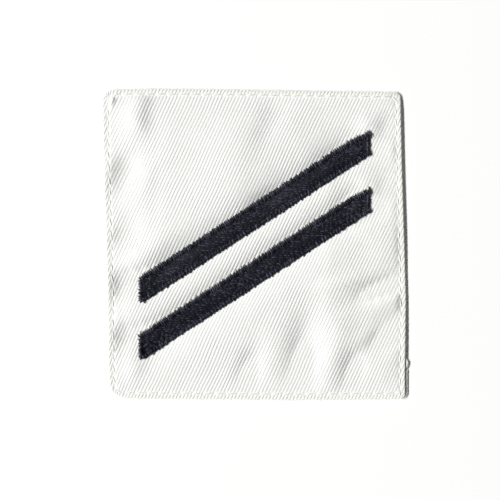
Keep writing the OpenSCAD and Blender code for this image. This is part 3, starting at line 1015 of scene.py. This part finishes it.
def fill_rows(left, right, high, up, seed):
    """Lines for the fill stitches. They run nearly level, and fan out a little."""
    chance = random.Random(seed)
    tallest = bar_half * math.tan(bar_angle) + high
    rows = []
    for v in np.arange(-tallest, tallest, fill_apart):
        slant = math.tan(math.radians(fill_climb + fill_fan * math.sin(v * fill_wave + seed)))
        run = np.linspace(left + fill_in, right - fill_in, 260)
        off = v + slant * (run - v / math.tan(bar_angle)) - run * math.tan(bar_angle)
        inside = (off > -high) & (off < high - upper_edge(run) - 0.1)
        run, off = run[inside], off[inside]
        skip = chance.randrange(8)
        if len(run) > skip + 4:
            height = fill_high + chance.uniform(-fill_spread, fill_spread)
            height = height - fill_loss * fallen(off[skip:], high)
            rows.append(on_bar(run[skip:], off[skip:], up, height))
    return rows


# How far apart the rows of bobbin thread lie, how far in from the ends, and how far they stand out of
# the cloth's back
bobbin_apart = 0.42
bobbin_in = 0.5
bobbin_proud = 0.03


def bobbin_rows(left, right, high, up):
    """Lines for the bobbin thread on the back of the panel, as far as it is seen inside the hem."""
    rows = []
    for off in np.arange(0.4 - high, high - 0.3, bobbin_apart):
        run = np.linspace(left + bobbin_in, right - bobbin_in, 120)
        line = on_bar(run, 0 * run + off, up, back_z - face_z - bobbin_proud)
        rows.append(line[edge_depths(line[:, 0], line[:, 1]).min(axis=0) > hem_w + 0.3])
    return rows


# The middle lines of the border lie this far inside its edge, and this high above the cloth
border_in = 0.62
right_border_in = 0.75
border_high = 0.08
end_high = 0.1
border_turn = math.radians(84)
end_turn = math.radians(92)
# The spike at the right end: how far it lies inside that end, from where to where below the upper
# edge its short line runs, and how high
spike_in = 0.32
spike_down = np.array([1.8, 1.3])
spike_high = 0.3


def embroidered(name, up, seed):
    """A whole bar: its padding, borders, ends, fill and bobbin thread, joined into one piece."""
    body = bar_body(name, up)
    left, right = bar_off - bar_half - left_out, bar_off + bar_half - right_in
    high = half_h - border_in / math.cos(bar_angle)
    long_x = np.linspace(left + 0.5, right - 0.3, 80)
    lower_line = on_bar(long_x[1:], 0 * long_x[1:] - high, up, border_high)
    upper_line = on_bar(long_x[::-1], high - upper_edge(long_x[::-1]), up, border_high)
    short_v = np.linspace(0.35 - half_h, half_h - 0.35, 12)
    right_line = on_bar(0 * short_v[:-3] + right - right_border_in, short_v[:-3], up, end_high)
    left_line = on_bar(0 * short_v[1:-1] + left + border_in, -short_v[1:-1], up, end_high)
    tip = on_bar(0 * spike_down + right - spike_in, half_h - spike_down, up, spike_high)
    border = sewn(name + "_border", [lower_line, upper_line], navy_thread, Pitch=0.34, Length=1.15,
                  Rise=0.55, Thread=0.16, Turn=border_turn, Turn_Spread=0.14, Length_Spread=0.16,
                  Height_Spread=0.05, Side_Step=0.1, Sections=7, Seed=seed)
    # Longer and thicker stitches among those of the border make its outline ragged
    teeth = sewn(name + "_upper_teeth", [upper_line], navy_thread, Pitch=0.58, Length=2.3, Rise=0.65,
                 Thread=0.26, Turn=border_turn, Turn_Spread=0.25, Length_Spread=0.16,
                 Height_Spread=0.05, Side_Step=0.14, Point=0.95, Bluntness=1.3, Sections=8,
                 Seed=seed + 1)
    low_teeth = sewn(name + "_lower_teeth", [lower_line], navy_thread, Pitch=0.95, Length=1.75,
                     Rise=0.6, Thread=0.3, Turn=border_turn, Turn_Spread=0.35, Length_Spread=0.24,
                     Height_Spread=0.05, Side_Step=0.16, Point=0.9, Bluntness=1.3, Sections=8,
                     Seed=seed + 2)
    caps = sewn(name + "_ends", [right_line, left_line], navy_thread, Pitch=0.34, Length=1.4, Rise=0.6,
                Thread=0.17, Turn=end_turn, Turn_Spread=0.2, Length_Spread=0.2, Height_Spread=0.05,
                Side_Step=0.12, Sections=8, Seed=seed + 3)
    # The satin of the right end runs on past the upper edge as a small spike
    spike = sewn(name + "_spike", [tip], navy_thread, Pitch=0.5, Length=2.0, Rise=0.2, Thread=0.2,
                 Turn=0.0, Turn_Spread=0.06, Length_Spread=0.08, Height_Spread=0.02, Side_Step=0.05,
                 Point=0.97, Bluntness=1.2, Sections=8, Seed=seed + 4)
    rows = fill_rows(left, right, high, up, seed)
    fill = sewn(name + "_fill", rows, navy_thread, Pitch=1.15, Length=1.3, Rise=0.16, Thread=0.17,
                Turn=0.0, Turn_Spread=0.14, Length_Spread=0.3, Height_Spread=0.05, Side_Step=0.35,
                Sections=7, Seed=seed + 5)
    rows = bobbin_rows(left, right, high, up)
    bobbin = sewn(name + "_bobbin", rows, navy_thread, Pitch=0.8, Length=1.3, Rise=0.0, Thread=0.1,
                  Turn=math.radians(60), Turn_Spread=0.12, Length_Spread=0.2, Height_Spread=0.02,
                  Side_Step=0.1, Sections=3, Seed=seed + 6)
    parts = [body, border, teeth, low_teeth, caps, spike, fill, bobbin]
    with bpy.context.temp_override(active_object=body, selected_editable_objects=parts):
        bpy.ops.object.join()
    return body


for node, up, seed in (("bar_upper", bar_pitch / 2, 20), ("bar_lower", -bar_pitch / 2, 40)):
    bar = embroidered(node + "_embroidery", up, seed)
    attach(bar, "root")
    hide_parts(node)
